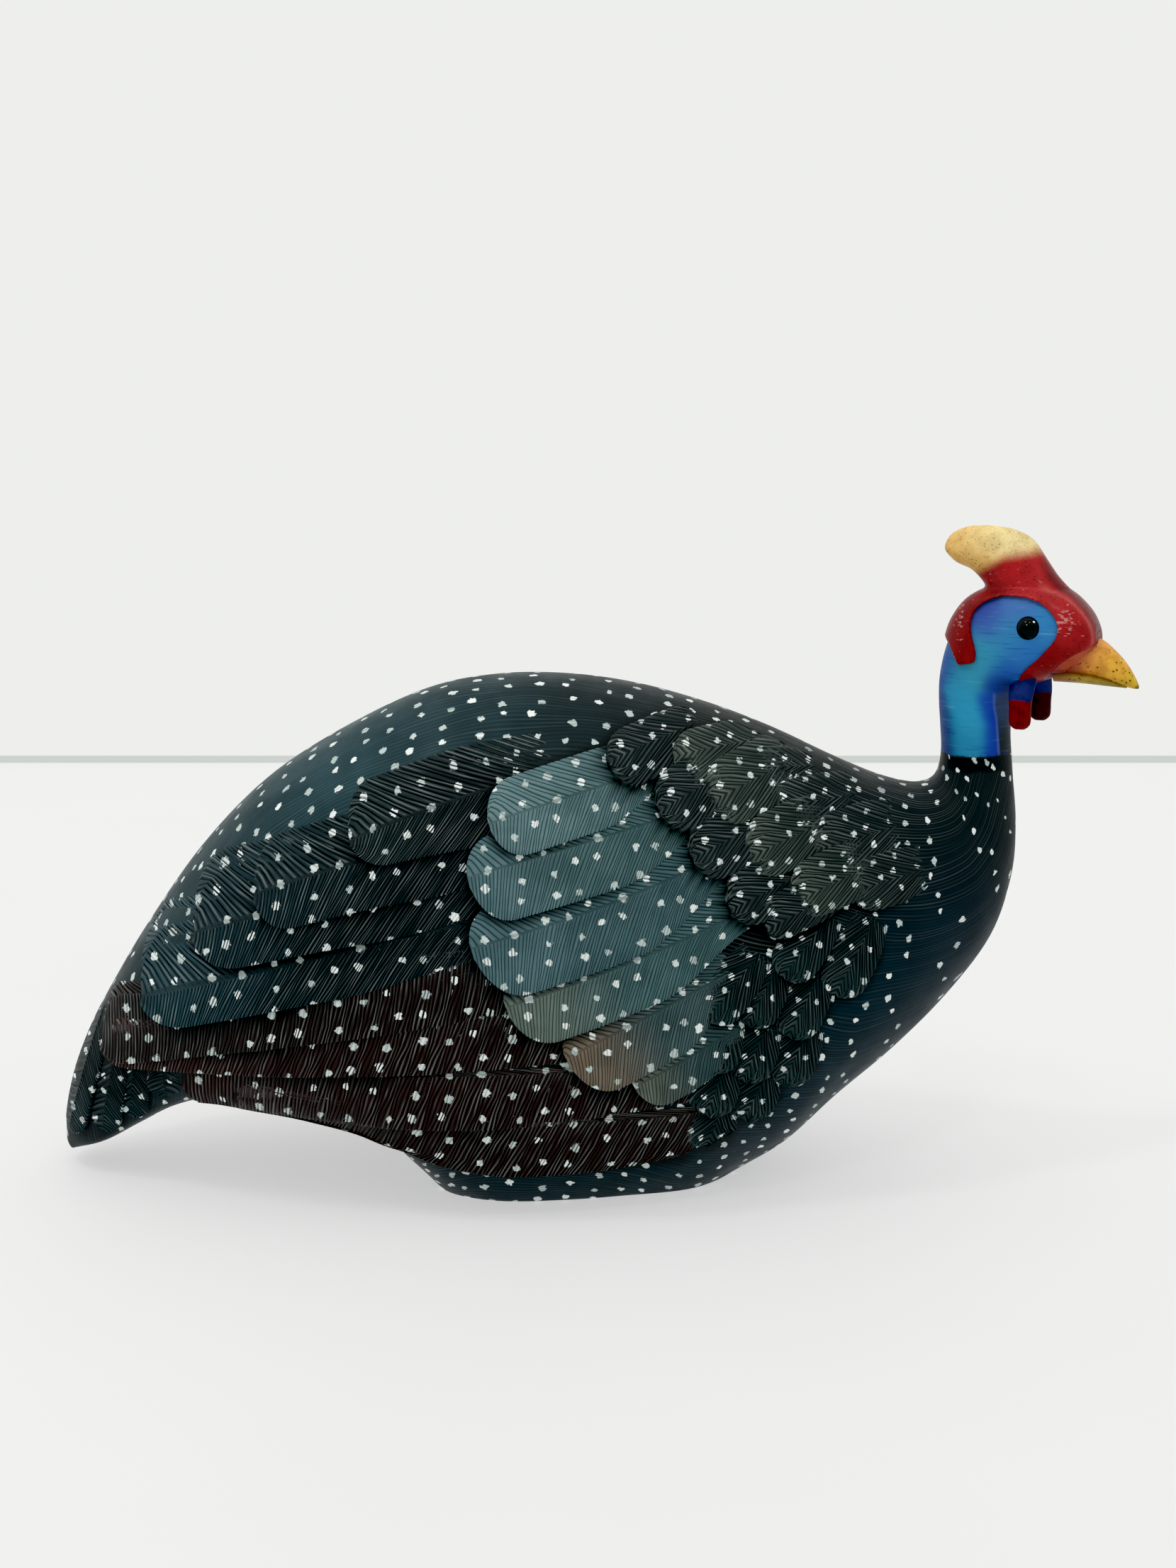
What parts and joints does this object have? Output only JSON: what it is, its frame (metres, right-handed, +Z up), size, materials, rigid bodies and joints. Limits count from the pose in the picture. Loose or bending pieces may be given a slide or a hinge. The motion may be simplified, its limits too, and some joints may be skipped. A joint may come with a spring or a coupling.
{
  "type": "guineafowl figurine",
  "caption": "Carved and painted wooden guineafowl that sits on its flat-cut belly, with folded wings, a turned head and domed glass eyes.",
  "frame": {"origin": "on the flat underside, under the body's middle", "axes": "+X along the bird from tail to beak, +Y to its left, +Z up"},
  "size_m": [0.3284, 0.1272, 0.1993],
  "materials": {
    "painted_wood": "hand-painted dark teal with white dots, satin varnish",
    "black_glass": "glossy black"
  },
  "bodies": {
    "root": {"bird": "painted_wood", "eye_left": "black_glass", "eye_right": "black_glass"}
  },
  "joints": []
}
